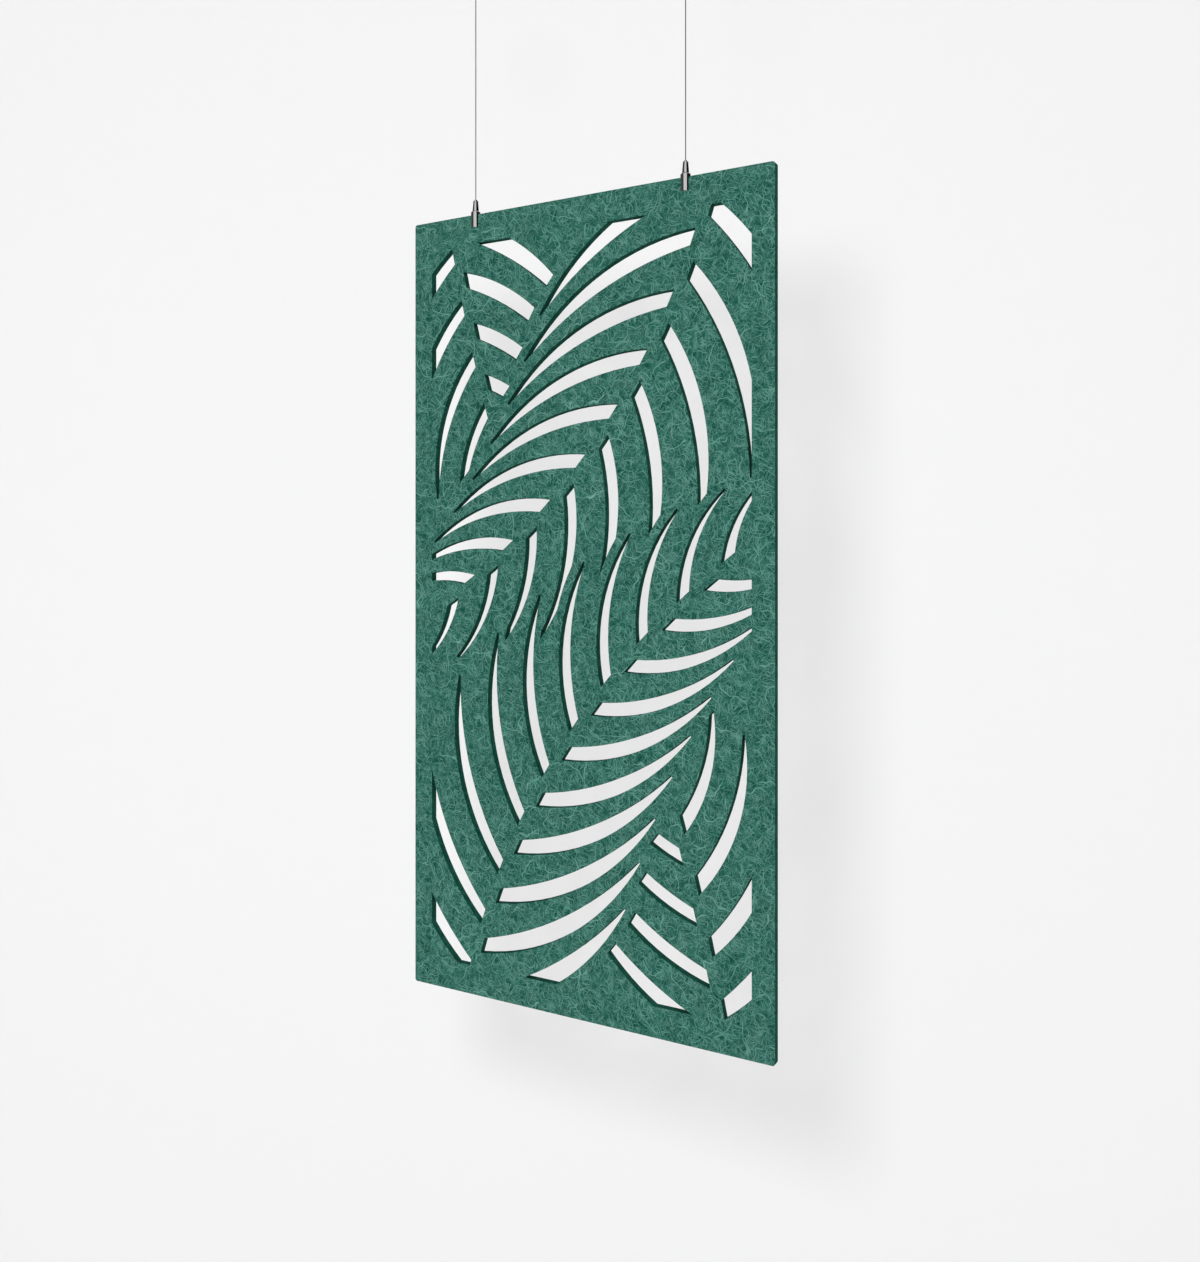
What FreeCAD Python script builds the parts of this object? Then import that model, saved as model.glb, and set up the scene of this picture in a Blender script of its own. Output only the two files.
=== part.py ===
import FreeCAD, Part
import math
import os

# Felt divider panel hung from the ceiling on two cables with releasable cable grips.
# The origin is on the ceiling, midway between the two ceiling fittings. +Z is up, +X is to the right
# as seen from the front, and the front face looks along -Y. All sizes are in millimetres.

os.makedirs("parts", exist_ok=True)
V = FreeCAD.Vector

# Panel
PANEL_WIDTH = 600.0
PANEL_HEIGHT = 1200.0
PANEL_THICKNESS = 12.0
CORNER_RADIUS = 4.0
HANG_DROP = 365.0
LEFT_INSET = 115.0
RIGHT_INSET = 131.0

# Leaf cut-outs
SIDE_BORDER = 33.0
END_BORDER = 44.0
STEM_WIDTH = 13.0
WEB_WIDTH = 11.0
LEAFLET_PITCH = 82.0
LEAFLET_BASE = 25.0
LEAFLET_TIP = 3.0
LEAFLET_CURL = math.radians(44)
BELLY_PLACE = 0.4
FELT_STRIP = 47.0
ROOT_LEAN = math.radians(66)
TIP_LEAN = math.radians(45)
TIP_SHORTENING = 0.62
SHORTENING_POWER = 1.6
PAIR_STAGGER = 0.25
TIP_CLEARANCE = 26.0
NARROWEST_OPENING = 8.0

# Sprays of leaves: where a stem is rooted from the panel's left and bottom edges, its heading in degrees,
# length and turn, and its longest leaflet. Turned sprays are measured from the right and top edges instead.
RISING_SPRAY = {"inset": 96.0, "overshoot": 24.0, "angle": 78.0, "length": 860.0, "turn": -42.0}
RISING_SPRAY["longest"] = 330.0
FALLING_SPRAY = {"inset": 80.0, "overshoot": 20.0, "angle": 76.0, "length": 800.0, "turn": -46.0}
FALLING_SPRAY["longest"] = 330.0
CORNER_SPRAY = {"inset": PANEL_WIDTH - 61.0, "overshoot": 44.0, "angle": 100.0, "length": 500.0, "turn": 9.0}
CORNER_SPRAY["longest"] = 300.0

# Cable
CABLE_DIAMETER = 1.5
BEND_LENGTH = 10.0
PIVOT_GAP = 0.4
STOP_GAP = 0.4

# Ceiling fitting
CAP_DIAMETER = 20.5
CAP_WALL = 2.15
CAP_HEIGHT = 25.7
CEILING_GAP = 0.3
BASE_HEIGHT = 9.0
SCREW_HOLE_DIAMETER = 4.5
THREAD_CLEARANCE = 0.1
STOP_DIAMETER = 5.0
STOP_HEIGHT = 4.0
STOP_CLEARANCE = 0.1
CAP_FLOOR = 1.6
THROAT_DIAMETER = 4.2

# Grip barrel, a fork over the panel's top edge
BARREL_DIAMETER = 14.5
HEAD_HEIGHT = 5.5
SHOULDER_HEIGHT = 1.7
SHOULDER_RIM = 0.4
FORK_DEPTH = 20.0
TONGUE_THICKNESS = 6.5
TONGUE_CLEARANCE = 0.1
POCKET_CLEARANCE = 0.3
POCKET_CORNER = 1.5
HEAD_FLOOR = 1.5

# Clamp screw in the fork's rear cheek
CLAMP_SCREW_DIAMETER = 4.0
CLAMP_SCREW_DEPTH = 10.0
SCREW_RECESS = 0.7
HEX_SOCKET = 2.0
HEX_DEPTH = 1.6

# Grip cone
CONE_BASE_DIAMETER = 10.2
CONE_TOP_DIAMETER = 7.5
CONE_HEIGHT = 16.0
SPIGOT_WALL = 1.3
SPIGOT_END_GAP = 0.2
GUIDE_LENGTH = 4.0
TAPER_HEIGHT = 4.5

# Release collet and spring inside the cone
COLLET_DIAMETER = 4.0
COLLET_CLEARANCE = 0.1
COLLET_GRIP_CLEARANCE = 0.03
COLLET_BORE_CLEARANCE = 0.2
COLLET_FLARE = 0.6
COLLET_HEAD_START = 0.6
COLLET_SLOT_WIDTH = 0.5
COLLET_SLOT_COUNT = 3
TIP_HEIGHT = 2.0
SPRING_WIRE = 0.5
SPRING_TURNS = 4
SPRING_STEPS = 10
SPRING_CLEARANCE = 0.4
SPRING_SEAT_GAP = 0.05
TAIL_END_GAP = 0.3

# Places along the panel and the cables, worked out from the sizes
TOP_EDGE = -HANG_DROP
BOTTOM_EDGE = TOP_EDGE - PANEL_HEIGHT
CABLE_SPACING = PANEL_WIDTH - LEFT_INSET - RIGHT_INSET
CABLE_X = {"left": -CABLE_SPACING / 2, "right": CABLE_SPACING / 2}
PANEL_LEFT = CABLE_X["left"] - LEFT_INSET
PANEL_RIGHT = CABLE_X["right"] + RIGHT_INSET
FRONT_FACE = -TONGUE_THICKNESS / 2
CAP_TOP = -CEILING_GAP
CAP_BOTTOM = CAP_TOP - CAP_HEIGHT
HEAD_TOP = TOP_EDGE + HEAD_HEIGHT
FORK_BOTTOM = TOP_EDGE - FORK_DEPTH
CLAMP_SCREW_Z = TOP_EDGE - CLAMP_SCREW_DEPTH
SOCKET_FLOOR = TOP_EDGE + HEAD_FLOOR
CONE_TOP = HEAD_TOP + CONE_HEIGHT
TAPER_END = CONE_TOP - GUIDE_LENGTH
TAPER_START = TAPER_END - TAPER_HEIGHT
COLLET_BOTTOM = TAPER_START + COLLET_HEAD_START
COLLET_TOP = CONE_TOP + TIP_HEIGHT
TILT_PIVOT_Z = COLLET_TOP + PIVOT_GAP
LEVEL_PIVOT_Z = TILT_PIVOT_Z + BEND_LENGTH

# Fits that follow from the sizes
SLOT_WIDTH = TONGUE_THICKNESS + 2 * TONGUE_CLEARANCE
CAP_BORE = CAP_DIAMETER - 2 * CAP_WALL
BASE_DIAMETER = CAP_BORE - 2 * THREAD_CLEARANCE
SEAT_REACH = math.hypot(STOP_DIAMETER, STOP_HEIGHT) / 2 + STOP_CLEARANCE
STOP_Z = CAP_BOTTOM + SEAT_REACH * math.sqrt(2) - THROAT_DIAMETER / 2
GUIDE_DIAMETER = COLLET_DIAMETER + 2 * COLLET_CLEARANCE
CHAMBER_DIAMETER = GUIDE_DIAMETER + 2 * COLLET_FLARE
THREAD_DIAMETER = CHAMBER_DIAMETER + 2 * SPIGOT_WALL
TAPER_SLOPE = COLLET_FLARE / TAPER_HEIGHT
SPRING_DIAMETER = CHAMBER_DIAMETER - 2 * SPRING_CLEARANCE


def turned(profile, x):
    """A solid of revolution about the vertical line at x, from (radius, height) corners."""
    corners = [V(x + radius, 0, height) for radius, height in profile]
    face = Part.Face(Part.makePolygon(corners + corners[:1]))
    return face.revolve(V(x, 0, 0), V(0, 0, 1), 360)


def upright_rod(diameter, bottom, top, x):
    return Part.makeCylinder(diameter / 2, top - bottom, V(x, 0, bottom))


def rod_along_y(diameter, front, back, x, z):
    return Part.makeCylinder(diameter / 2, back - front, V(x, front, z), V(0, 1, 0))


# Leaf cut-outs, drawn flat in the panel's plane

def flat(x, z):
    return V(x, 0, z)


def heading(angle):
    return V(math.cos(angle), 0, math.sin(angle))


def crosswise(angle):
    return V(-math.sin(angle), 0, math.cos(angle))


class Bow:
    """A circular arc that starts at a point with a heading and turns evenly over its length."""

    def __init__(self, start, angle, length, turn):
        self.start = start
        self.angle = angle
        self.length = length
        self.turn = turn

    def heading_at(self, share):
        return self.angle + self.turn * share

    def point(self, share, offset=0.0):
        radius = self.length / self.turn
        now = self.heading_at(share)
        swept = crosswise(self.angle) - crosswise(now)
        return self.start + swept * radius + crosswise(now) * offset


def arc(first, middle, last):
    return Part.Arc(first, middle, last).toShape()


def leaflet(stem, share, side, lean, length, belly, margin=0.0, past_tip=0.0):
    """One slender opening that leaves the stem on one side and bows towards the stem's tip,
    or the ground round it, wider by the margin on each side and longer by past_tip."""
    half_base = (LEAFLET_BASE / 2 + margin) / stem.length
    half_belly = side * (belly / 2 + margin)
    half_tip = side * (LEAFLET_TIP / 2 + margin)
    reach = 1.0 + past_tip / length
    edge = side * STEM_WIDTH / 2
    near = stem.point(share - half_base, edge - side * margin)
    far = stem.point(share + half_base, edge - side * margin)
    axis = Bow(stem.point(share, edge), stem.heading_at(share) + side * lean, length, -side * LEAFLET_CURL)
    corners = [axis.point(reach, half_tip), axis.point(reach, -half_tip)]
    outer = arc(near, axis.point(BELLY_PLACE, half_belly), corners[0])
    inner = arc(corners[1], axis.point(BELLY_PLACE, -half_belly), far)
    return Part.Face(Part.Wire([outer, Part.makeLine(*corners), inner, Part.makeLine(far, near)]))


def rib(stem):
    """The felt band along a stem, which stays whole."""
    half = STEM_WIDTH / 2
    sides = [arc(stem.point(0, edge), stem.point(0.5, edge), stem.point(1, edge)) for edge in (-half, half)]
    ends = [Part.makeLine(stem.point(share, -half), stem.point(share, half)) for share in (0, 1)]
    return Part.Face(Part.Wire([sides[0], ends[1], sides[1], ends[0]]))


def stem_of(sizes, turned_round):
    """The stem of a spray, rooted below the bottom edge, or above the top edge if turned half round."""
    root = flat(PANEL_LEFT + sizes["inset"], BOTTOM_EDGE - sizes["overshoot"])
    angle = math.radians(sizes["angle"])
    if turned_round:
        root = flat(PANEL_RIGHT - sizes["inset"], TOP_EDGE + sizes["overshoot"])
        angle += math.pi
    return Bow(root, angle, sizes["length"], math.radians(sizes["turn"]))


def spray(sizes, turned_round):
    """The rib and the leaflets along both sides of one stem, from root to tip. Each is an opening, the ground
    that later openings on this stem keep off, and the longer ground that the sprays behind keep off."""
    stem = stem_of(sizes, turned_round)
    longest = sizes["longest"]
    count = int(stem.length / LEAFLET_PITCH)
    leaves = [(None, rib(stem), rib(stem))]
    for step in range(count):
        for side in (1, -1):
            share = (step + 0.5 + PAIR_STAGGER * side) / count
            lean = ROOT_LEAN + (TIP_LEAN - ROOT_LEAN) * share
            length = longest * (1.0 - TIP_SHORTENING * share ** SHORTENING_POWER)
            belly = LEAFLET_PITCH * math.sin(lean) - FELT_STRIP
            opening = leaflet(stem, share, side, lean, length, belly)
            ground = leaflet(stem, share, side, lean, length, belly, WEB_WIDTH, WEB_WIDTH)
            long_ground = leaflet(stem, share, side, lean, length, belly, WEB_WIDTH, TIP_CLEARANCE)
            leaves.append((opening, ground, long_ground))
    return leaves


def window():
    left = PANEL_LEFT + SIDE_BORDER
    bottom = BOTTOM_EDGE + END_BORDER
    width = PANEL_WIDTH - 2 * SIDE_BORDER
    height = PANEL_HEIGHT - 2 * END_BORDER
    return Part.makePlane(width, height, flat(left, bottom), V(0, -1, 0), V(1, 0, 0))


def leaf_openings():
    """Sprays in layers: each opening stops a web short of those that lie in front of it."""
    sprays = [spray(RISING_SPRAY, False), spray(FALLING_SPRAY, True)]
    sprays += [spray(CORNER_SPRAY, False), spray(CORNER_SPRAY, True)]
    frame = window()
    taken = []
    kept = []
    for leaves in sprays:
        own = []
        for opening, ground, long_ground in leaves:
            if opening:
                clear = opening.common(frame)
                in_front = [shape for shape in taken + own if shape.BoundBox.intersect(opening.BoundBox)]
                if in_front and clear.Faces:
                    clear = clear.cut(in_front)
                kept += [face for face in clear.Faces if 2 * face.Area / face.Length > NARROWEST_OPENING]
            own.append(ground)
        taken += [long_ground for opening, ground, long_ground in leaves]
    return kept


# Panel

def rounded_sheet(left, bottom, right, top, radius):
    """A flat face with rounded corners in the panel's plane."""
    centres = [(right - radius, top - radius), (left + radius, top - radius)]
    centres += [(left + radius, bottom + radius), (right - radius, bottom + radius)]
    rounds = []
    for quarter, (x, z) in enumerate(centres):
        angles = [math.radians(90 * quarter + part) for part in (0, 45, 90)]
        rounds.append(arc(*[flat(x, z) + heading(angle) * radius for angle in angles]))
    outline = []
    for now, after in zip(rounds, rounds[1:] + rounds[:1]):
        outline += [now, Part.makeLine(now.Vertexes[-1].Point, after.Vertexes[0].Point)]
    return Part.Face(Part.Wire(outline))


def grip_pocket(x):
    """A pocket in the back for the fork's rear cheek, which leaves a tongue along the front face."""
    half_width = BARREL_DIAMETER / 2 + POCKET_CLEARANCE
    bottom = FORK_BOTTOM - POCKET_CLEARANCE
    pocket = rounded_sheet(x - half_width, bottom, x + half_width, HEAD_TOP, POCKET_CORNER)
    return pocket.extrude(V(0, PANEL_THICKNESS, 0)).translated(V(0, TONGUE_THICKNESS / 2, 0))


def felt_panel():
    sheet = rounded_sheet(PANEL_LEFT, BOTTOM_EDGE, PANEL_RIGHT, TOP_EDGE, CORNER_RADIUS)
    panel = sheet.cut(leaf_openings()).Faces[0].extrude(V(0, PANEL_THICKNESS, 0))
    panel = panel.translated(V(0, FRONT_FACE, 0))
    return panel.cut([grip_pocket(x) for x in CABLE_X.values()])


# Ceiling fitting

def ceiling_base(x):
    """A round base with a screw hole, threaded outside for the cap."""
    outer = BASE_DIAMETER / 2
    hole = SCREW_HOLE_DIAMETER / 2
    return turned([(hole, 0), (outer, 0), (outer, -BASE_HEIGHT), (hole, -BASE_HEIGHT)], x)


def ceiling_cap(x):
    """A turned cup with a conical seat in its floor for the cable's stop."""
    outer = CAP_DIAMETER / 2
    bore = CAP_BORE / 2
    throat = THROAT_DIAMETER / 2
    floor = CAP_BOTTOM + CAP_FLOOR
    wall = [(bore, CAP_TOP), (outer, CAP_TOP), (outer, CAP_BOTTOM)]
    return turned(wall + [(throat, CAP_BOTTOM), (throat + CAP_FLOOR, floor), (bore, floor)], x)


def cable_stop(x):
    """The barrel stop cast on the cable's upper end, which rocks in the cap's seat."""
    return upright_rod(STOP_DIAMETER, STOP_Z - STOP_HEIGHT / 2, STOP_Z + STOP_HEIGHT / 2, x)


# Cable, in the three stretches that turn against each other

def cable(x):
    top = STOP_Z - STOP_HEIGHT / 2 - STOP_GAP
    return upright_rod(CABLE_DIAMETER, LEVEL_PIVOT_Z + PIVOT_GAP / 2, top, x)


def cable_bend(x):
    return upright_rod(CABLE_DIAMETER, TILT_PIVOT_Z + PIVOT_GAP / 2, LEVEL_PIVOT_Z - PIVOT_GAP / 2, x)


def cable_tail(x):
    return upright_rod(CABLE_DIAMETER, SOCKET_FLOOR + TAIL_END_GAP, TILT_PIVOT_Z - PIVOT_GAP / 2, x)


# Cable grip

def grip_barrel(x):
    """A barrel with a shouldered head, forked below: one cheek on the panel's face, one in its pocket."""
    outer = BARREL_DIAMETER / 2
    rim = CONE_BASE_DIAMETER / 2 + SHOULDER_RIM
    body = [(0, FORK_BOTTOM), (outer, FORK_BOTTOM), (outer, HEAD_TOP - SHOULDER_HEIGHT)]
    slot_corner = V(x - BARREL_DIAMETER, -SLOT_WIDTH / 2, FORK_BOTTOM - FORK_DEPTH)
    slot = Part.makeBox(2 * BARREL_DIAMETER, SLOT_WIDTH, 2 * FORK_DEPTH, slot_corner)
    socket = upright_rod(THREAD_DIAMETER + 2 * THREAD_CLEARANCE, SOCKET_FLOOR, CONE_TOP, x)
    tapped = rod_along_y(CLAMP_SCREW_DIAMETER + 2 * THREAD_CLEARANCE, 0, BARREL_DIAMETER, x, CLAMP_SCREW_Z)
    return turned(body + [(rim, HEAD_TOP), (0, HEAD_TOP)], x).cut([slot, socket, tapped])


def clamp_screw(x):
    """A set screw with a hexagon socket, which presses the tongue against the front cheek."""
    back = BARREL_DIAMETER / 2 - SCREW_RECESS
    screw = rod_along_y(CLAMP_SCREW_DIAMETER, TONGUE_THICKNESS / 2, back, x, CLAMP_SCREW_Z)
    corner = HEX_SOCKET / math.sqrt(3)
    centre = V(x, back - HEX_DEPTH, CLAMP_SCREW_Z)
    hexagon = [centre + heading(math.radians(60 * step)) * corner for step in range(7)]
    return screw.cut(Part.Face(Part.makePolygon(hexagon)).extrude(V(0, 2 * HEX_DEPTH, 0)))


def grip_cone(x):
    """The tapered top, screwed into the barrel's head, with the collet's taper inside."""
    thread = THREAD_DIAMETER / 2
    chamber = CHAMBER_DIAMETER / 2
    guide = GUIDE_DIAMETER / 2
    bottom = SOCKET_FLOOR + SPIGOT_END_GAP
    outside = [(thread, bottom), (thread, HEAD_TOP), (CONE_BASE_DIAMETER / 2, HEAD_TOP)]
    top = [(CONE_TOP_DIAMETER / 2, CONE_TOP), (guide, CONE_TOP)]
    inside = [(guide, TAPER_END), (chamber, TAPER_START), (chamber, bottom)]
    return turned(outside + top + inside, x)


def release_collet(x):
    """A slotted collet: its head wedges in the taper round the cable, and its tip is the release button."""
    tube = COLLET_DIAMETER / 2
    grip = CABLE_DIAMETER / 2 + COLLET_GRIP_CLEARANCE
    bore = CABLE_DIAMETER / 2 + COLLET_BORE_CLEARANCE
    head = CHAMBER_DIAMETER / 2 - COLLET_HEAD_START * TAPER_SLOPE - COLLET_CLEARANCE
    outside = [(grip, COLLET_BOTTOM), (head, COLLET_BOTTOM), (tube, TAPER_END), (tube, COLLET_TOP)]
    inside = [(bore, COLLET_TOP), (bore, TAPER_END), (grip, TAPER_END)]
    collet = turned(outside + inside, x)
    slots = []
    for step in range(COLLET_SLOT_COUNT):
        corner = V(0, -COLLET_SLOT_WIDTH / 2, COLLET_BOTTOM)
        slot = Part.makeBox(CHAMBER_DIAMETER, COLLET_SLOT_WIDTH, TAPER_HEIGHT, corner)
        slot.rotate(V(0, 0, 0), V(0, 0, 1), 360 * step / COLLET_SLOT_COUNT)
        slots.append(slot.translated(V(x, 0, 0)))
    return collet.cut(slots)


def release_spring(x):
    """A coil of square wire between the socket's floor and the collet's head."""
    radius = (SPRING_DIAMETER - SPRING_WIRE) / 2
    half = SPRING_WIRE / 2
    first = SOCKET_FLOOR + half + SPRING_SEAT_GAP
    last = COLLET_BOTTOM - half - SPRING_SEAT_GAP
    sections = []
    for step in range(SPRING_TURNS * SPRING_STEPS + 1):
        outward = V(1, 0, 0)
        turn = FreeCAD.Rotation(V(0, 0, 1), 360 * step / SPRING_STEPS)
        rise = first + (last - first) * step / (SPRING_TURNS * SPRING_STEPS)
        corners = []
        for out, up in ((-half, -half), (half, -half), (half, half), (-half, half)):
            corners.append(turn.multVec(outward * (radius + out)) + V(x, 0, rise + up))
        sections.append(Part.makePolygon(corners + corners[:1]))
    return Part.makeLoft(sections, True, True)


SIDE_PIECES = [ceiling_base, ceiling_cap, cable_stop, cable, cable_bend, cable_tail]
SIDE_PIECES += [grip_barrel, clamp_screw, grip_cone, release_collet, release_spring]

felt_panel().exportStep("parts/felt_panel.step")
for side, cable_x in CABLE_X.items():
    for piece in SIDE_PIECES:
        piece(cable_x).exportStep(f"parts/{side}_{piece.__name__}.step")
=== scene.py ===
import bmesh
import bpy
import math
from mathutils import Matrix, Vector


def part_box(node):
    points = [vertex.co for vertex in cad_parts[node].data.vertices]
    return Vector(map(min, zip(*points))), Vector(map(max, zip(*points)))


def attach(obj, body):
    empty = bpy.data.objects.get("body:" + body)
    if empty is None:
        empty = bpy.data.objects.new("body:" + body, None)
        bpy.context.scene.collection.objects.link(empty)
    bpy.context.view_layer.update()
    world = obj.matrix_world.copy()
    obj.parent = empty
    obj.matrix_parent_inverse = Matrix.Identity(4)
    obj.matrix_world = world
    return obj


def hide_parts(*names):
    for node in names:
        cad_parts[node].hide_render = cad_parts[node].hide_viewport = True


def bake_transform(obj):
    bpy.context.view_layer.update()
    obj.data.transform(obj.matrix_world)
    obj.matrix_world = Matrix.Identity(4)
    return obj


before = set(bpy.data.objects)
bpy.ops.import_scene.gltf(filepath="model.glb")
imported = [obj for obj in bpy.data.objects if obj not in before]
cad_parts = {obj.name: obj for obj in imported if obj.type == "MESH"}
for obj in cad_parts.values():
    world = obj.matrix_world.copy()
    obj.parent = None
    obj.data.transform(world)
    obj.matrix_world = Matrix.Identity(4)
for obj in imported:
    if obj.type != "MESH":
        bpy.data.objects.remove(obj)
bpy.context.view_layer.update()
scene = bpy.context.scene

# Camera, level and to the right of the panel

VIEW_TURN = math.radians(28.91)
CAMERA_PLACE = Vector((0.8042, -1.38085, -0.880))
VIEW_AHEAD = Vector((-math.sin(VIEW_TURN), math.cos(VIEW_TURN), 0))
VIEW_LEFT = Vector((-math.cos(VIEW_TURN), -math.sin(VIEW_TURN), 0))
SENSOR_WIDTH = 36.0
FOCAL_LENGTH = 31.16
LENS_SHIFT_UP = -0.0646

lens = bpy.data.cameras.new("camera")
lens.sensor_width = SENSOR_WIDTH
lens.lens = FOCAL_LENGTH
lens.shift_y = LENS_SHIFT_UP
camera = bpy.data.objects.new("camera", lens)
camera.location = CAMERA_PLACE
camera.rotation_euler = (math.radians(90), 0, VIEW_TURN)
scene.collection.objects.link(camera)
scene.camera = camera

# Sizes that the source gives, in metres

SIDES = ("left", "right")
CABLE_DIAMETER = 0.0015
LEVEL_PIVOT_Z = -0.3311
TILT_PIVOT_Z = -0.3411

# Sizes of the finish, in metres, and counts

FELT_ROUNDING = 0.0008
FELT_ROUND_STEPS = 3
METAL_ROUND_STEPS = 2
COLLET_ROUNDING = 0.0001
STRAND_LAY = 0.014
STRAND_ROUND_STEPS = 1
OUTER_STRANDS = 6
BEND_REACH = 0.005
CABLE_PLACES = (0, 0.3, 0.7, 1)
TAIL_PLACES = (0, 0.5, 1)

# Limits for reading the meshes of the solids

SAME_PLACE = 1e-7
ON_FACE = 1e-6
FLAT_JOIN = math.radians(0.3)
FELT_RIM = math.radians(60)
SHARP_METAL = math.radians(25)
SHARP_SHADING = math.radians(35)
WALL_LEAN = 0.3

# Felt: curls are measured in cells, strokes in metres, and clouds by scale, detail and distortion

CURL_PUSH = 0.06
CURL_WAVES = 1.6
CURL_WIDEST = 6.0
CURL_CHANCE = (0.45, 1.0)
CURL_BRIGHTEST = 1.3
CURL_ENDS = (0.66, 0.36)
STROKE_PEAKS = (0.66, 0.86)
STROKE_WAVES = 45.0
STROKE_SWAY = 0.012
STROKE_SHARE = 0.8
CLOUD_ROUGHNESS = 0.62
FUZZ = (420.0, 4.0, 1.6)
MOTTLE = (52.0, 4.0, 1.2)
GREYING = (30.0, 2.0, 0.6)
MOTTLE_WEIGHT = 1.1
SHADE_RANGE = (0.82, 1.28)
GREYED_RANGE = (0.5, 0.75)
MOST_GREY = 0.5
GAP_SHARE = 0.7

# Plating: haze that dulls it, and turning lines round the upright axis

HAZE_SCALE = 260.0
HAZE_RANGE = (0.3, 0.7)
LINE_STRETCH = (60.0, 60.0, 9000.0)


# Node helpers

def add_node(tree, kind, x, y, **settings):
    node = tree.nodes.new(kind)
    node.location = (x, y)
    for name, value in settings.items():
        setattr(node, name, value)
    return node


def join(tree, source, target):
    tree.links.new(source, target)


def math_node(tree, operation, x, y, first, second=None):
    """A Math node whose inputs are sockets or numbers."""
    node = add_node(tree, "ShaderNodeMath", x, y, operation=operation)
    for socket, value in zip(node.inputs, (first, second)):
        if value is None:
            continue
        if isinstance(value, (int, float)):
            socket.default_value = value
        else:
            join(tree, value, socket)
    return node.outputs[0]


def vector_node(tree, operation, x, y, first, second=None, scale=None):
    """A Vector Math node whose inputs are sockets or triples."""
    node = add_node(tree, "ShaderNodeVectorMath", x, y, operation=operation)
    for socket, value in zip(node.inputs, (first, second)):
        if value is None:
            continue
        if isinstance(value, tuple):
            socket.default_value = value
        else:
            join(tree, value, socket)
    if scale is not None:
        if isinstance(scale, (int, float)):
            node.inputs["Scale"].default_value = scale
        else:
            join(tree, scale, node.inputs["Scale"])
    return node.outputs["Value"] if operation == "DISTANCE" else node.outputs[0]


def noise_node(tree, x, y, vector, scale, detail, **settings):
    """A Noise texture laid over a vector."""
    node = add_node(tree, "ShaderNodeTexNoise", x, y, **settings)
    node.inputs["Scale"].default_value = scale
    node.inputs["Detail"].default_value = detail
    join(tree, vector, node.inputs["Vector"])
    return node


def swayed(tree, x, y, vector, waves, reach):
    """A vector moved to and fro by a flat noise, as far as the reach."""
    noise = noise_node(tree, x, y, vector, waves, 1.0, noise_dimensions="2D")
    offset = vector_node(tree, "SUBTRACT", x + 180, y, noise.outputs["Color"], (0.5, 0.5, 0.5))
    offset = vector_node(tree, "SCALE", x + 360, y, offset, scale=reach)
    return vector_node(tree, "ADD", x + 360, y + 250, vector, offset)


def ramp_between(tree, x, y, value, low, high, start=0.0, end=1.0):
    """A smooth step of a value from one range to another."""
    node = add_node(tree, "ShaderNodeMapRange", x, y, interpolation_type="SMOOTHSTEP")
    join(tree, value, node.inputs["Value"])
    for name, number in (("From Min", low), ("From Max", high), ("To Min", start), ("To Max", end)):
        if isinstance(number, (int, float)):
            node.inputs[name].default_value = number
        else:
            join(tree, number, node.inputs[name])
    return node.outputs["Result"]


def colour_mix(tree, x, y, factor, first, second):
    """A mix of two colours, which are sockets or triples."""
    node = add_node(tree, "ShaderNodeMix", x, y, data_type="RGBA")
    join(tree, factor, node.inputs["Factor"])
    for socket, value in ((node.inputs[6], first), (node.inputs[7], second)):
        if isinstance(value, tuple):
            socket.default_value = (*value, 1.0)
        else:
            join(tree, value, socket)
    return node.outputs[2]


def new_group(name, inputs, outputs):
    """A shader node group with named inputs of (kind, default) and float outputs."""
    group = bpy.data.node_groups.new(name, "ShaderNodeTree")
    for label, (kind, default) in inputs.items():
        socket = group.interface.new_socket(label, in_out="INPUT", socket_type=kind)
        if default is not None:
            socket.default_value = default
    for label in outputs:
        group.interface.new_socket(label, in_out="OUTPUT", socket_type="NodeSocketFloat")
    start = add_node(group, "NodeGroupInput", -1400, 0)
    end = add_node(group, "NodeGroupOutput", 900, 0)
    return group, start.outputs, end.inputs


# Shared effects

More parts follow.
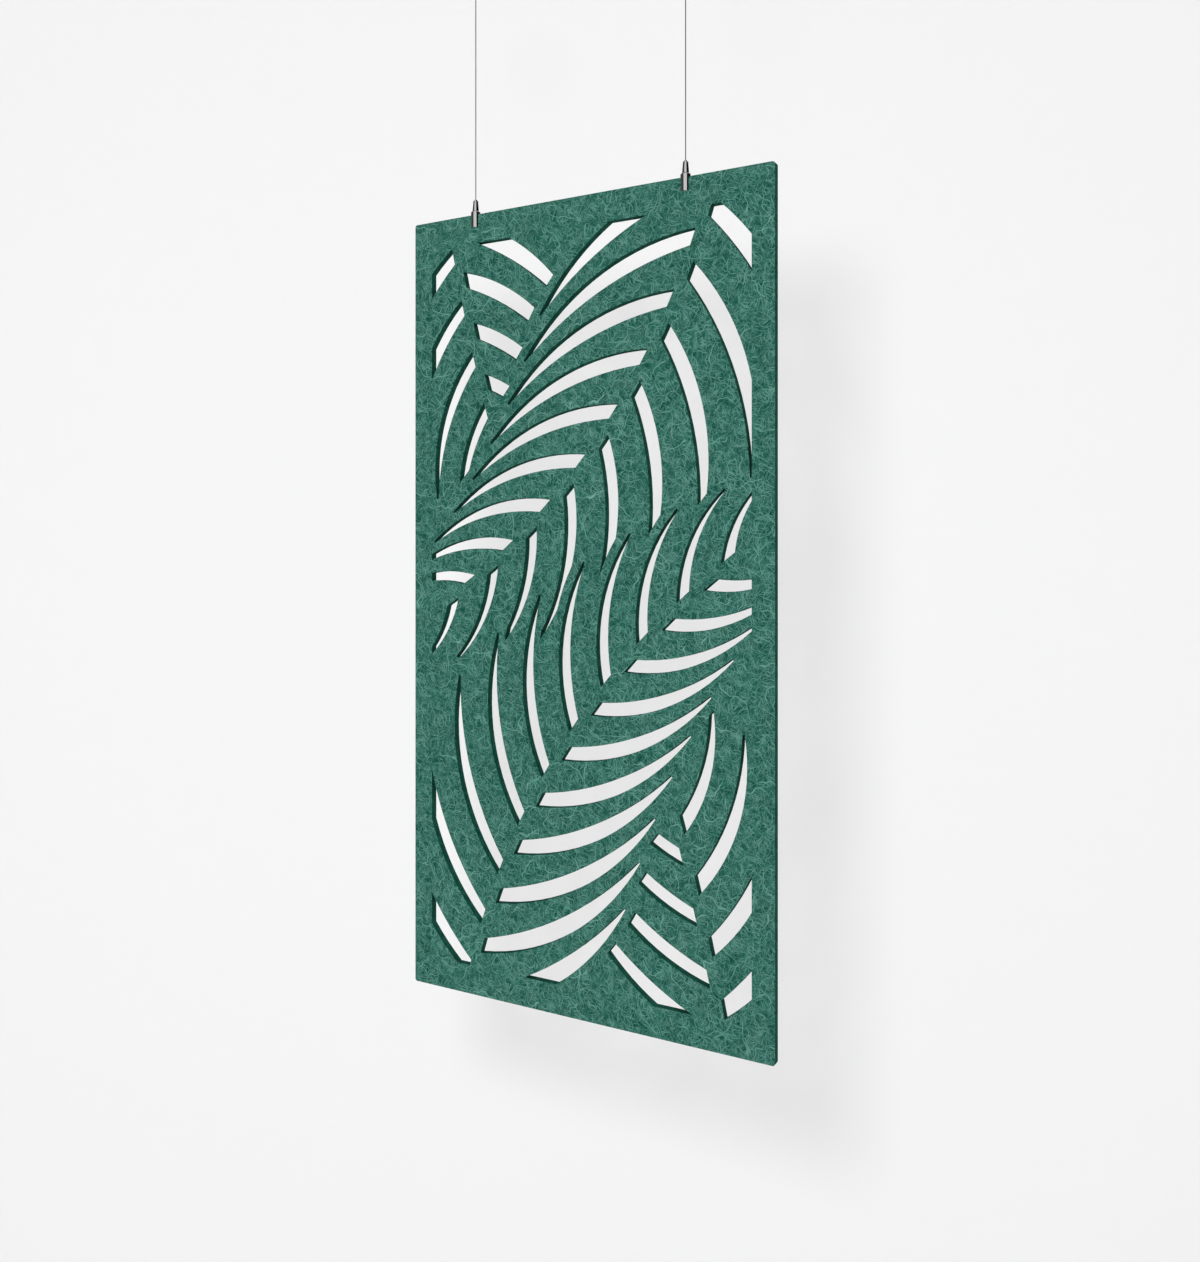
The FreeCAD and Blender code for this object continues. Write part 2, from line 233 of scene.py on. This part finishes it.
def curl_group():
    """A layer of bowed fibres over those before it: two to a cell, each with its own turn and bow."""
    inputs = {
        "Vector": ("NodeSocketVector", None),
        "Before": ("NodeSocketFloat", 0.0),
        "Size": ("NodeSocketFloat", 0.03),
        "Shift": ("NodeSocketFloat", 0.0),
        "Width": ("NodeSocketFloat", 0.001),
        "Bow": ("NodeSocketFloat", 0.5),
        "Wander": ("NodeSocketFloat", 0.4),
    }
    group, given, result = new_group("fibre_curls", inputs, ["Fibre"])
    scale = math_node(group, "DIVIDE", -1200, -100, 1.0, given["Size"])
    cells = vector_node(group, "SCALE", -1020, 100, given["Vector"], scale=scale)
    push = math_node(group, "MULTIPLY", -1200, -300, given["Before"], CURL_PUSH)
    shift = math_node(group, "ADD", -1020, -250, given["Shift"], push)
    moved = vector_node(group, "ADD", -840, 100, cells, shift)
    bent = swayed(group, -660, -150, moved, CURL_WAVES, given["Wander"])
    cell = add_node(group, "ShaderNodeTexVoronoi", -120, 100, voronoi_dimensions="2D", feature="F1")
    cell.inputs["Scale"].default_value = 1.0
    join(group, bent, cell.inputs["Vector"])
    chance = add_node(group, "ShaderNodeSeparateColor", 60, -100)
    join(group, cell.outputs["Color"], chance.inputs[0])
    local = vector_node(group, "SUBTRACT", 60, 200, bent, cell.outputs["Position"])
    local = vector_node(group, "MULTIPLY", 180, 200, local, (1.0, 1.0, 0.0))
    thickness = math_node(group, "DIVIDE", 60, 500, given["Width"], given["Size"])
    widest = math_node(group, "MULTIPLY", 60, 650, given["Bow"], CURL_WIDEST)
    laid = None
    for count, (turn_by, bow_by, tone_by) in enumerate(((0, 1, 2), (1, 2, 0))):
        low = -500 * count
        turn = math_node(group, "MULTIPLY", 240, low - 300, chance.outputs[turn_by], 2 * math.pi)
        turned = add_node(group, "ShaderNodeVectorRotate", 420, low + 200, rotation_type="Z_AXIS")
        join(group, local, turned.inputs["Vector"])
        join(group, turn, turned.inputs["Angle"])
        radius = ramp_between(group, 420, low - 100, chance.outputs[bow_by], 0.0, 1.0, given["Bow"], widest)
        centre = add_node(group, "ShaderNodeCombineXYZ", 600, low - 100)
        join(group, radius, centre.inputs["Y"])
        reach = vector_node(group, "DISTANCE", 600, low + 200, turned.outputs[0], centre.outputs[0])
        off_line = math_node(group, "SUBTRACT", 700, low + 300, reach, radius)
        away = math_node(group, "ABSOLUTE", 780, low + 300, off_line)
        line = ramp_between(group, 780, low + 100, away, thickness, 0.0)
        tone = ramp_between(group, 780, low - 350, chance.outputs[tone_by], *CURL_CHANCE, 0.0, CURL_BRIGHTEST)
        bow = math_node(group, "MULTIPLY", 960, low, line, tone)
        laid = bow if laid is None else math_node(group, "MAXIMUM", 1140, 0, laid, bow)
    ends = ramp_between(group, 780, -150, cell.outputs["Distance"], *CURL_ENDS)
    laid = math_node(group, "MULTIPLY", 1300, 0, laid, ends)
    join(group, math_node(group, "MAXIMUM", 1460, 0, laid, given["Before"]), result["Fibre"])
    return group


def stroke_group():
    """A layer of short fibres that lie one way, laid over those before it."""
    inputs = {
        "Vector": ("NodeSocketVector", None),
        "Before": ("NodeSocketFloat", 0.0),
        "Turn": ("NodeSocketFloat", 0.0),
        "Shift": ("NodeSocketFloat", 0.0),
        "Length": ("NodeSocketFloat", 0.015),
        "Width": ("NodeSocketFloat", 0.0015),
    }
    group, given, result = new_group("short_fibres", inputs, ["Fibre"])
    turned = add_node(group, "ShaderNodeVectorRotate", -1000, 0, rotation_type="Z_AXIS")
    join(group, given["Vector"], turned.inputs["Vector"])
    join(group, given["Turn"], turned.inputs["Angle"])
    stretch = add_node(group, "ShaderNodeCombineXYZ", -1000, -250)
    join(group, math_node(group, "DIVIDE", -1200, -200, 1.0, given["Length"]), stretch.inputs["X"])
    join(group, math_node(group, "DIVIDE", -1200, -350, 1.0, given["Width"]), stretch.inputs["Y"])
    cells = vector_node(group, "MULTIPLY", -800, 0, turned.outputs[0], stretch.outputs[0])
    moved = vector_node(group, "ADD", -600, 0, cells, given["Shift"])
    peaks = noise_node(group, -400, 0, moved, 1.0, 0.0, noise_dimensions="2D")
    line = ramp_between(group, -200, 0, peaks.outputs[0], *STROKE_PEAKS)
    join(group, math_node(group, "MAXIMUM", 0, 0, line, given["Before"]), result["Fibre"])
    return group


def felt_group(curls, strokes):
    """Pressed felt: short fibres every way, a few long curls, dark gaps, fine fuzz and slow mottling."""
    group, given, result = new_group("pressed_felt", {"Vector": ("NodeSocketVector", None)},
                                     ["Pale", "Dark", "Fuzz", "Mottle", "Greying"])
    parts = add_node(group, "ShaderNodeSeparateXYZ", -1300, 500)
    join(group, given["Vector"], parts.inputs[0])
    across = math_node(group, "ADD", -1220, 600, parts.outputs["X"], parts.outputs["Y"])
    flat = add_node(group, "ShaderNodeCombineXYZ", -1150, 500)
    join(group, across, flat.inputs["X"])
    join(group, parts.outputs["Z"], flat.inputs["Y"])
    bent = swayed(group, -1150, 250, flat.outputs[0], STROKE_WAVES, STROKE_SWAY)

    def layers(kind, place, count, y, settings):
        """Several layers of fibres, each over the one before. The settings give first and last values."""
        laid = None
        for step in range(count):
            node = add_node(group, "ShaderNodeGroup", -500 + 180 * step, y, node_tree=kind)
            join(group, place, node.inputs["Vector"])
            if laid:
                join(group, laid, node.inputs["Before"])
            for label, (first, last) in settings.items():
                node.inputs[label].default_value = first + (last - first) * step / (count - 1)
            laid = node.outputs["Fibre"]
        return laid

    def cloud(y, scale, detail, distortion):
        node = noise_node(group, -1000, y, given["Vector"], scale, detail)
        node.inputs["Roughness"].default_value = CLOUD_ROUGHNESS
        node.inputs["Distortion"].default_value = distortion
        return node.outputs[0]

    long_curls = layers(curls, flat.outputs[0], 3, 900, {
        "Size": (0.046, 0.032), "Shift": (3.1, 40.7), "Width": (0.0010, 0.0010),
        "Bow": (0.35, 0.35), "Wander": (0.45, 0.45)})
    short_pale = layers(strokes, bent, 7, 600, {
        "Turn": (0.2, 2.9), "Shift": (5.3, 91.9), "Length": (0.026, 0.014), "Width": (0.0015, 0.0010)})
    short_dark = layers(strokes, bent, 4, 300, {
        "Turn": (0.5, 2.9), "Shift": (150.7, 201.3), "Length": (0.022, 0.014), "Width": (0.0022, 0.0015)})
    fine = math_node(group, "MULTIPLY", 700, 600, short_pale, STROKE_SHARE)
    join(group, math_node(group, "MAXIMUM", 800, 800, long_curls, fine), result["Pale"])
    join(group, short_dark, result["Dark"])
    join(group, cloud(100, *FUZZ), result["Fuzz"])
    join(group, cloud(-300, *MOTTLE), result["Mottle"])
    join(group, cloud(-600, *GREYING), result["Greying"])
    return group


def polish_group():
    """Plated metal: fine turning lines round the upright axis and a faint cloudiness."""
    group, given, result = new_group("plated_polish", {"Vector": ("NodeSocketVector", None)},
                                     ["Haze", "Lines"])
    haze = noise_node(group, -600, 150, given["Vector"], HAZE_SCALE, 3.0)
    stretched = vector_node(group, "MULTIPLY", -800, -150, given["Vector"], LINE_STRETCH)
    lines = noise_node(group, -600, -150, stretched, 1.0, 2.0)
    join(group, haze.outputs[0], result["Haze"])
    join(group, lines.outputs[0], result["Lines"])
    return group


# Materials

def new_material(name):
    """A material with a Principled shader, and Object coordinates for its patterns."""
    material = bpy.data.materials.new(name)
    material.use_nodes = True
    tree = material.node_tree
    tree.nodes.clear()
    shader = add_node(tree, "ShaderNodeBsdfPrincipled", 600, 0)
    out = add_node(tree, "ShaderNodeOutputMaterial", 900, 0)
    join(tree, shader.outputs[0], out.inputs["Surface"])
    place = add_node(tree, "ShaderNodeTexCoord", -900, 0)
    return material, tree, shader, place.outputs["Object"]


def bump(tree, shader, height, strength, distance):
    node = add_node(tree, "ShaderNodeBump", 350, -300)
    node.inputs["Strength"].default_value = strength
    node.inputs["Distance"].default_value = distance
    join(tree, height, node.inputs["Height"])
    join(tree, node.outputs[0], shader.inputs["Normal"])


def felt_material(name, felt, ground, deep, grey, pale, pale_share, sheen):
    """Felt of a ground colour that greys in places, with deep gaps and pale fibres."""
    material, tree, shader, place = new_material(name)
    fibres = add_node(tree, "ShaderNodeGroup", -650, 0, node_tree=felt)
    join(tree, place, fibres.inputs["Vector"])
    mottle = math_node(tree, "MULTIPLY", -500, 350, fibres.outputs["Mottle"], MOTTLE_WEIGHT)
    shade = math_node(tree, "ADD", -400, 250, fibres.outputs["Fuzz"], mottle)
    shade = ramp_between(tree, -250, 250, shade, *SHADE_RANGE)
    greyed = ramp_between(tree, -250, 450, fibres.outputs["Greying"], *GREYED_RANGE, 0.0, MOST_GREY)
    colour = colour_mix(tree, -50, 200, shade, deep, colour_mix(tree, -150, 450, greyed, ground, grey))
    gaps = math_node(tree, "MULTIPLY", -250, 0, fibres.outputs["Dark"], GAP_SHARE)
    colour = colour_mix(tree, 120, 200, gaps, colour, deep)
    curls = math_node(tree, "MULTIPLY", -250, -150, fibres.outputs["Pale"], pale_share)
    colour = colour_mix(tree, 300, 200, curls, colour, pale)
    join(tree, colour, shader.inputs["Base Color"])
    shader.inputs["Roughness"].default_value = 0.95
    shader.inputs["Specular IOR Level"].default_value = 0.05
    shader.inputs["Sheen Weight"].default_value = sheen
    shader.inputs["Sheen Roughness"].default_value = 0.5
    shader.inputs["Sheen Tint"].default_value = (*pale, 1.0)
    bump(tree, shader, shade, strength=0.6, distance=0.0006)
    return material


def plated_material(name, polish, colour, smooth, cloudy):
    """Metal whose roughness wavers between a smooth and a cloudy value."""
    material, tree, shader, place = new_material(name)
    finish = add_node(tree, "ShaderNodeGroup", -650, 0, node_tree=polish)
    join(tree, place, finish.inputs["Vector"])
    rough = ramp_between(tree, -250, -100, finish.outputs["Haze"], *HAZE_RANGE, smooth, cloudy)
    join(tree, rough, shader.inputs["Roughness"])
    shader.inputs["Base Color"].default_value = (*colour, 1.0)
    shader.inputs["Metallic"].default_value = 1.0
    bump(tree, shader, finish.outputs["Lines"], strength=0.08, distance=0.00002)
    return material


felt = felt_group(curl_group(), stroke_group())
polish = polish_group()
felt_face = felt_material(
    "felt_face", felt, ground=(0.026, 0.137, 0.104), deep=(0.003, 0.062, 0.044),
    grey=(0.064, 0.137, 0.116), pale=(0.17, 0.39, 0.32), pale_share=0.72, sheen=0.04)
# Felt of the cut walls: darker for the cut fibre ends, and darkened further as painted shade for walls that
# face away from the light.
cut_felt_and_painted_shade = felt_material(
    "cut_felt_and_painted_shade", felt, ground=(0.008, 0.078, 0.053), deep=(0.002, 0.038, 0.025),
    grey=(0.012, 0.070, 0.050), pale=(0.03, 0.15, 0.11), pale_share=0.3, sheen=0.0)
bright_plate = plated_material("bright_plate", polish, (0.78, 0.77, 0.76), smooth=0.07, cloudy=0.16)
rope_wire = plated_material("rope_wire", polish, (0.28, 0.28, 0.29), smooth=0.28, cloudy=0.42)
screw_steel = plated_material("screw_steel", polish, (0.34, 0.34, 0.35), smooth=0.25, cloudy=0.4)


# Making pieces

def merged_copy(node):
    """A copy of a node's mesh with its triangles joined, and with flat faces made whole."""
    mesh = bmesh.new()
    mesh.from_mesh(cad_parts[node].data)
    bmesh.ops.remove_doubles(mesh, verts=mesh.verts, dist=SAME_PLACE)
    bmesh.ops.dissolve_limit(mesh, angle_limit=FLAT_JOIN, verts=mesh.verts, edges=mesh.edges)
    bmesh.ops.recalc_face_normals(mesh, faces=mesh.faces)
    return mesh


def edges_over(mesh, angle):
    """The edges whose faces meet at more than an angle."""
    return [edge for edge in mesh.edges if edge.calc_face_angle(0.0) > angle]


def round_edges(mesh, edges, width, steps, clamp):
    bmesh.ops.bevel(mesh, geom=edges, offset=width, segments=steps, profile=0.5, affect="EDGES",
                    clamp_overlap=clamp, material=-1)


def finished(mesh, name, materials):
    """An object from a mesh, shaded smooth but for its sharp edges."""
    data = bpy.data.meshes.new(name)
    mesh.to_mesh(data)
    mesh.free()
    for material in materials:
        data.materials.append(material)
    data.shade_smooth()
    data.set_sharp_from_angle(angle=SHARP_SHADING)
    piece = bpy.data.objects.new(name, data)
    scene.collection.objects.link(piece)
    even = piece.modifiers.new("even_shading", "WEIGHTED_NORMAL")
    even.keep_sharp = True
    return piece


def felt_sheet():
    """The panel with softly rounded rims along both faces, and cut walls in a darker felt whose darkness is
    partly painted shade.
    """
    mesh = merged_copy("felt_panel")
    low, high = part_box("felt_panel")

    def on_a_face(vert):
        return min(abs(vert.co.y - low.y), abs(vert.co.y - high.y)) < ON_FACE

    rims = [edge for edge in edges_over(mesh, FELT_RIM) if all(on_a_face(vert) for vert in edge.verts)]
    round_edges(mesh, rims, FELT_ROUNDING, FELT_ROUND_STEPS, clamp=False)
    # Faces that lean sideways get the darker cut felt, which is partly painted shade.
    for face in mesh.faces:
        face.material_index = 1 if abs(face.normal.y) < WALL_LEAN else 0
    return finished(mesh, "felt_sheet", [felt_face, cut_felt_and_painted_shade])


def broken_edges(node, name, width, materials):
    """A metal piece with its sharp edges rounded by a small width."""
    mesh = merged_copy(node)
    round_edges(mesh, edges_over(mesh, SHARP_METAL), width, METAL_ROUND_STEPS, clamp=True)
    return finished(mesh, name, materials)


def mesh_from_curve(name, curve):
    """The mesh that a curve makes. The curve itself is taken away."""
    holder = bpy.data.objects.new(name, curve)
    scene.collection.objects.link(holder)
    bpy.context.view_layer.update()
    shown = holder.evaluated_get(bpy.context.evaluated_depsgraph_get())
    data = bpy.data.meshes.new_from_object(shown)
    bpy.data.objects.remove(holder)
    bpy.data.curves.remove(curve)
    return data


def smooth_line(name, points):
    """The points of a smooth spline through a short list of places."""
    route = bpy.data.curves.new(name, "CURVE")
    route.dimensions = "3D"
    spline = route.splines.new("NURBS")
    spline.points.add(len(points) - 1)
    for place, point in zip(points, spline.points):
        point.co = (*place, 1.0)
    spline.order_u = 3
    spline.use_endpoint_u = True
    spline.resolution_u = 80
    line = mesh_from_curve(name, route)
    places = [vert.co.copy() for vert in line.vertices]
    bpy.data.meshes.remove(line)
    return places


def wire_rope(name, places):
    """A core strand with six more laid round it, along an upright line of places."""
    strand = CABLE_DIAMETER / 6
    rope = bpy.data.curves.new(name, "CURVE")
    rope.dimensions = "3D"
    rope.bevel_depth = strand
    rope.bevel_resolution = STRAND_ROUND_STEPS
    rope.use_fill_caps = True
    for count in range(OUTER_STRANDS + 1):
        reach = 0.0 if count == 0 else 2 * strand
        spline = rope.splines.new("POLY")
        spline.points.add(len(places) - 1)
        for place, point in zip(places, spline.points):
            turn = 2 * math.pi * (count / OUTER_STRANDS + place.z / STRAND_LAY)
            point.co = (place.x + reach * math.cos(turn), place.y + reach * math.sin(turn), place.z, 1.0)
    data = mesh_from_curve(name + "_strands", rope)
    data.name = name
    data.materials.clear()
    data.materials.append(rope_wire)
    data.shade_smooth()
    piece = bpy.data.objects.new(name, data)
    scene.collection.objects.link(piece)
    return piece


# Cables

for side in SIDES:
    low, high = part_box(f"{side}_cable")
    x = (low.x + high.x) / 2
    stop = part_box(f"{side}_cable_stop")[0]
    ends = (Vector((x, 0, stop.z + CABLE_DIAMETER / 2)), Vector((x, 0, TILT_PIVOT_Z)))
    places = smooth_line(f"{side}_route", [ends[0].lerp(ends[1], share) for share in CABLE_PLACES])
    rope = wire_rope(f"{side}_wire_rope", places)
    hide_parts(f"{side}_cable", f"{side}_cable_bend")
    above = Vector((x, 0, LEVEL_PIVOT_Z + BEND_REACH))
    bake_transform(rope)
    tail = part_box(f"{side}_cable_tail")[0]
    ends = (Vector((x, 0, TILT_PIVOT_Z)), Vector((x, 0, tail.z)))
    places = smooth_line(f"{side}_tail_route", [ends[0].lerp(ends[1], share) for share in TAIL_PLACES])
    rope_tail = wire_rope(f"{side}_rope_tail", places)
    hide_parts(f"{side}_cable_tail")
    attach(rope_tail, "cable_tails")

# Felt and fittings. Each fitting has its body, the rounding of its edges, its material and its slot

panel = felt_sheet()
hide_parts("felt_panel")
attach(panel, "panel")

FITTINGS = {
    "ceiling_base": ("ceiling_fittings", 0.0003, bright_plate, "plated"),
    "ceiling_cap": ("ceiling_fittings", 0.0006, bright_plate, "plated"),
    "grip_barrel": ("panel", 0.0003, bright_plate, "plated"),
    "grip_cone": ("panel", 0.0003, bright_plate, "plated"),
    "clamp_screw": ("panel", 0.0002, screw_steel, "cable_steel"),
}
for side in SIDES:
    for name, (body, width, material, slot) in FITTINGS.items():
        node = f"{side}_{name}"
        piece = broken_edges(node, f"{side}_{name}_turned", width, [material])
        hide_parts(node)
        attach(piece, body)
    collet = broken_edges(f"{side}_release_collet", f"{side}_release_button", COLLET_ROUNDING,
                          [bright_plate])
    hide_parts(f"{side}_release_collet")
    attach(collet, f"{side}_collet")
    spring = f"{side}_release_spring"
    low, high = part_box(spring)
    x = (low.x + high.x) / 2
    coil = finished(merged_copy(spring), f"{side}_coil_spring", [screw_steel])
    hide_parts(spring)
    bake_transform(coil)
    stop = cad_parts[f"{side}_cable_stop"]
    stop.data.materials.clear()
    stop.data.materials.append(screw_steel)

# Backdrop and floor

WALL_DISTANCE = 4.0
FLOOR_Z = -4.0
STAGE_REACH = 12.0
WALL_PAPER = (0.836, 0.836, 0.836)
FLOOR_PAPER = (0.68, 0.68, 0.68)


def paper_material(name, colour):
    """Matt paper that the camera sees through from behind."""
    material, tree, shader, _ = new_material(name)
    shader.inputs["Base Color"].default_value = (*colour, 1.0)
    shader.inputs["Roughness"].default_value = 1.0
    shader.inputs["Specular IOR Level"].default_value = 0.0
    path = add_node(tree, "ShaderNodeLightPath", 300, 400)
    side = add_node(tree, "ShaderNodeNewGeometry", 300, 700)
    hidden = math_node(tree, "MULTIPLY", 500, 500, path.outputs["Is Camera Ray"], side.outputs["Backfacing"])
    clear = add_node(tree, "ShaderNodeBsdfTransparent", 600, 300)
    mixed = add_node(tree, "ShaderNodeMixShader", 800, 300)
    join(tree, hidden, mixed.inputs[0])
    join(tree, shader.outputs[0], mixed.inputs[1])
    join(tree, clear.outputs[0], mixed.inputs[2])
    out = next(node for node in tree.nodes if node.type == "OUTPUT_MATERIAL")
    join(tree, mixed.outputs[0], out.inputs["Surface"])
    return material


def stage_sheet(name, turn, place, material):
    """A wide flat sheet of the surroundings."""
    mesh = bmesh.new()
    bmesh.ops.create_grid(mesh, x_segments=1, y_segments=1, size=STAGE_REACH)
    bmesh.ops.transform(mesh, matrix=Matrix.Translation(place) @ turn, verts=mesh.verts)
    data = bpy.data.meshes.new(name)
    mesh.to_mesh(data)
    mesh.free()
    data.materials.append(material)
    sheet = bpy.data.objects.new(name, data)
    scene.collection.objects.link(sheet)
    return sheet


facing_camera = Matrix.Rotation(VIEW_TURN, 4, "Z") @ Matrix.Rotation(math.radians(90), 4, "X")
wall = stage_sheet("wall", facing_camera, CAMERA_PLACE + VIEW_AHEAD * WALL_DISTANCE,
                   paper_material("wall_paper", WALL_PAPER))
wall.visible_glossy = False
stage_sheet("floor", Matrix.Identity(4), Vector((0, 0, FLOOR_Z)),
            paper_material("floor_paper", FLOOR_PAPER))

# Light: a surround that is brighter towards the top, and one soft lamp up and to the left of the camera

SURROUND = 0.835
FROM_ABOVE = 0.6
LAMP_SHARE = 0.2
LAMP_LEFT = 0.172
LAMP_UP = 0.213
LAMP_RADIUS = 0.092
BACKGROUND = 0.895

# What the plating mirrors: degrees round from the front towards the right, and a level of grey

MIRRORED_BANDS = (
    (-180, 0.5), (-150, 0.3), (-95, 0.07), (-24, 0.05), (-13, 0.85), (12, 0.60),
    (30, 0.74), (47, 0.68), (54, 0.0), (150, 0.0), (164, 0.5),
)

# With no falloff, a lamp of 4 pi squared watts lights a facing white sheet fully at any distance

lamp_data = bpy.data.lights.new("soft_lamp", "POINT")
lamp_data.shadow_soft_size = LAMP_RADIUS
lamp_data.energy = 4 * math.pi ** 2 * LAMP_SHARE
lamp_data.use_nodes = True
lamp_tree = lamp_data.node_tree
falloff = add_node(lamp_tree, "ShaderNodeLightFalloff", -300, 0)
falloff.inputs["Strength"].default_value = 1.0
emission = next(node for node in lamp_tree.nodes if node.type == "EMISSION")
join(lamp_tree, falloff.outputs["Constant"], emission.inputs["Strength"])
lamp = bpy.data.objects.new("soft_lamp", lamp_data)
lamp.location = CAMERA_PLACE + VIEW_LEFT * LAMP_LEFT + Vector((0, 0, LAMP_UP))
scene.collection.objects.link(lamp)

world = bpy.data.worlds.new("studio")
scene.world = world
world.use_nodes = True
sky = world.node_tree
sky.nodes.clear()
path = add_node(sky, "ShaderNodeLightPath", -900, 300)
direction = add_node(sky, "ShaderNodeTexCoord", -1500, -200)
parts = add_node(sky, "ShaderNodeSeparateXYZ", -1300, -200)
join(sky, direction.outputs["Generated"], parts.inputs[0])
forward = math_node(sky, "MULTIPLY", -1200, -350, parts.outputs["Y"], -1.0)
round_about = math_node(sky, "ARCTAN2", -1100, -200, parts.outputs["X"], forward)
turns = math_node(sky, "DIVIDE", -950, -200, round_about, 2 * math.pi)
share = math_node(sky, "ADD", -800, -200, turns, 0.5)
bands = add_node(sky, "ShaderNodeValToRGB", -600, -200)
bands.color_ramp.interpolation = "EASE"
for step, (degrees, level) in enumerate(MIRRORED_BANDS):
    stops = bands.color_ramp.elements
    stop = stops[step] if step < 2 else stops.new(1.0)
    stop.position = degrees / 360 + 0.5
    stop.color = (level, level, level, 1.0)
join(sky, share, bands.inputs["Fac"])
above = math_node(sky, "MULTIPLY", -900, 0, parts.outputs["Z"], SURROUND * FROM_ABOVE)
around = math_node(sky, "ADD", -700, 0, above, SURROUND)
seen = colour_mix(sky, -300, 0, path.outputs["Is Glossy Ray"], around, bands.outputs["Color"])
seen = colour_mix(sky, -100, 0, path.outputs["Is Camera Ray"], seen, (BACKGROUND, BACKGROUND, BACKGROUND))
surround = add_node(sky, "ShaderNodeBackground", 100, 0)
join(sky, seen, surround.inputs["Color"])
sky_out = add_node(sky, "ShaderNodeOutputWorld", 300, 0)
join(sky, surround.outputs[0], sky_out.inputs["Surface"])

scene.view_settings.view_transform = "Standard"
